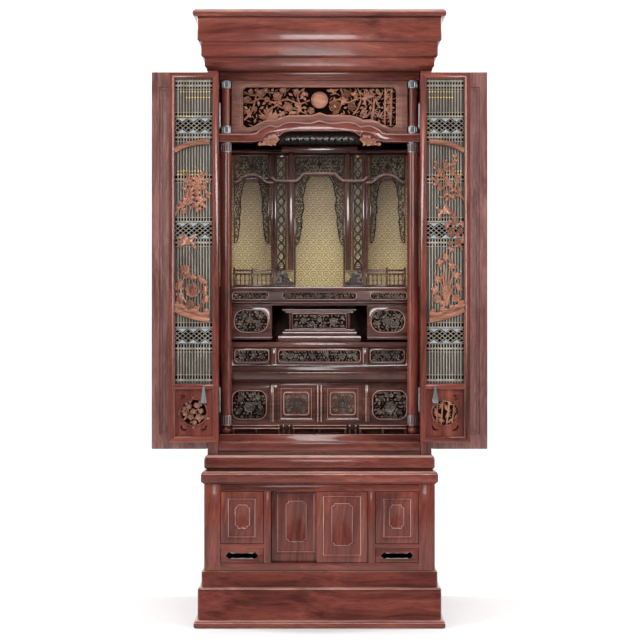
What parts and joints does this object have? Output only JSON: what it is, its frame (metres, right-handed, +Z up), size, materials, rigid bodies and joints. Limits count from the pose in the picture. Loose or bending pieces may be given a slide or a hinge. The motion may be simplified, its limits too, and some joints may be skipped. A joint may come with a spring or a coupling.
{
  "type": "household altar cabinet",
  "caption": "Floor-standing household altar cabinet in red-brown wood: a carved, tiered shrine behind folding lattice doors, on a stand with panelled doors and drawers.",
  "frame": {"origin": "centre of the underside, on the floor", "axes": "+Z up, -Y the front of the cabinet, +X to the viewer's right"},
  "size_m": [0.9478, 0.6, 1.73],
  "materials": {
    "rosewood": "glossy lacquered rosewood with dark and orange-red streaks",
    "inner_wood": "glossy dark purple-brown rosewood",
    "carved_wood": "satin carved wood, lighter orange-brown",
    "lattice_wood": "satin grey-brown lattice in a glossy rosewood frame",
    "gold_brocade": "gold brocade with a dark diamond and flower weave",
    "silver_metal": "polished silver-coloured metal"
  },
  "bodies": {
    "cabinet": {"stand_plinth": "rosewood", "stand_carcass": "rosewood", "stand_top_board": "rosewood", "base_moulding": "rosewood", "sill_rail": "rosewood", "side_wall_left": "rosewood", "side_wall_right": "rosewood", "back_board": "rosewood", "crown_moulding": "rosewood", "crown_top_board": "rosewood", "lintel_moulding": "rosewood", "transom_frame": "rosewood", "curved_beam": "rosewood", "cabinet_floor": "inner_wood", "ceiling": "inner_wood", "column_left": "inner_wood", "column_right": "inner_wood", "short_column_left": "inner_wood", "short_column_right": "inner_wood", "canopy": "inner_wood", "shrine_rail": "inner_wood", "bay_front_left": "inner_wood", "bay_front_right": "inner_wood", "bay_front_middle": "inner_wood", "lattice_strip_left": "inner_wood", "lattice_strip_right": "inner_wood", "balustrade_left": "inner_wood", "balustrade_right": "inner_wood", "upper_tier": "inner_wood", "dais": "inner_wood", "drawer_tier": "inner_wood", "low_cabinet": "inner_wood", "transom_carving": "carved_wood", "gold_backing": "gold_brocade", "hinge_barrel_lower_left": "silver_metal", "hinge_barrel_lower_right": "silver_metal", "hinge_barrel_upper_left": "silver_metal", "hinge_barrel_upper_right": "silver_metal"},
    "left_outer_near": {"outer_leaf_near_left": "rosewood"},
    "right_outer_near": {"outer_leaf_near_right": "rosewood"},
    "left_outer_far": {"outer_leaf_far_left": "rosewood"},
    "right_outer_far": {"outer_leaf_far_right": "rosewood"},
    "left_inner_near": {"inner_leaf_near_left": "lattice_wood"},
    "right_inner_near": {"inner_leaf_near_right": "lattice_wood"},
    "left_inner_far": {"inner_leaf_far_left": "lattice_wood", "door_pull_left": "silver_metal"},
    "right_inner_far": {"inner_leaf_far_right": "lattice_wood", "door_pull_right": "silver_metal"},
    "sliding_door_left": {"stand_sliding_door_left": "rosewood"},
    "sliding_door_right": {"stand_sliding_door_right": "rosewood"},
    "side_door_left": {"stand_side_door_left": "rosewood"},
    "side_door_right": {"stand_side_door_right": "rosewood"},
    "stand_drawer_left": {"stand_drawer_left": "rosewood"},
    "stand_drawer_right": {"stand_drawer_right": "rosewood"},
    "tray": {"pull_out_tray": "inner_wood"},
    "small_drawer_left": {"small_drawer_left": "inner_wood"},
    "small_drawer_middle": {"small_drawer_middle": "inner_wood"},
    "small_drawer_right": {"small_drawer_right": "inner_wood"}
  },
  "joints": [
    {"name": "left_outer_swing", "type": "hinge", "parent": "cabinet", "child": "left_outer_near", "pos_m": [-0.316, -0.252, 1.028], "axis": [0, 0, -1], "range_deg": [-180, 0]},
    {"name": "left_outer_fold", "type": "hinge", "parent": "left_outer_near", "child": "left_outer_far", "pos_m": [-0.4744, -0.2275, 1.028], "axis": [0, 0, -1], "range_deg": [-180, 0]},
    {"name": "left_inner_swing", "type": "hinge", "parent": "cabinet", "child": "left_inner_near", "pos_m": [-0.2813, -0.252, 1.036], "axis": [0, 0, -1], "range_deg": [-180, 0]},
    {"name": "left_inner_fold", "type": "hinge", "parent": "left_inner_near", "child": "left_inner_far", "pos_m": [-0.42235, -0.2735, 1.036], "axis": [0, 0, 1], "range_deg": [-180, 0]},
    {"name": "right_outer_swing", "type": "hinge", "parent": "cabinet", "child": "right_outer_near", "pos_m": [0.316, -0.252, 1.028], "axis": [0, 0, 1], "range_deg": [-180, 0]},
    {"name": "right_outer_fold", "type": "hinge", "parent": "right_outer_near", "child": "right_outer_far", "pos_m": [0.4744, -0.2275, 1.028], "axis": [0, 0, 1], "range_deg": [-180, 0]},
    {"name": "right_inner_swing", "type": "hinge", "parent": "cabinet", "child": "right_inner_near", "pos_m": [0.2813, -0.252, 1.036], "axis": [0, 0, 1], "range_deg": [-180, 0]},
    {"name": "right_inner_fold", "type": "hinge", "parent": "right_inner_near", "child": "right_inner_far", "pos_m": [0.42235, -0.2735, 1.036], "axis": [0, 0, -1], "range_deg": [-180, 0]},
    {"name": "sliding_door_left_slide", "type": "slide", "parent": "cabinet", "child": "sliding_door_left", "axis": [1, 0, 0], "range_m": [0, 0.124]},
    {"name": "side_door_left_hinge", "type": "hinge", "parent": "cabinet", "child": "side_door_left", "pos_m": [-0.2775, -0.285, 0.308], "axis": [0, 0, -1], "range_deg": [0, 100]},
    {"name": "stand_drawer_left_slide", "type": "slide", "parent": "cabinet", "child": "stand_drawer_left", "axis": [0, -1, 0], "range_m": [0, 0.3]},
    {"name": "sliding_door_right_slide", "type": "slide", "parent": "cabinet", "child": "sliding_door_right", "axis": [-1, 0, 0], "range_m": [0, 0.124]},
    {"name": "side_door_right_hinge", "type": "hinge", "parent": "cabinet", "child": "side_door_right", "pos_m": [0.2775, -0.285, 0.308], "axis": [0, 0, 1], "range_deg": [0, 100]},
    {"name": "stand_drawer_right_slide", "type": "slide", "parent": "cabinet", "child": "stand_drawer_right", "axis": [0, -1, 0], "range_m": [0, 0.3]},
    {"name": "tray_slide", "type": "slide", "parent": "cabinet", "child": "tray", "axis": [0, -1, 0], "range_m": [0, 0.25]},
    {"name": "small_drawer_left_slide", "type": "slide", "parent": "cabinet", "child": "small_drawer_left", "axis": [0, -1, 0], "range_m": [0, 0.15]},
    {"name": "small_drawer_middle_slide", "type": "slide", "parent": "cabinet", "child": "small_drawer_middle", "axis": [0, -1, 0], "range_m": [0, 0.15]},
    {"name": "small_drawer_right_slide", "type": "slide", "parent": "cabinet", "child": "small_drawer_right", "axis": [0, -1, 0], "range_m": [0, 0.15]}
  ],
  "couplings": [
    {"joint": "left_inner_swing", "follows": "left_outer_swing", "ratio": 1},
    {"joint": "right_inner_swing", "follows": "right_outer_swing", "ratio": 1}
  ]
}
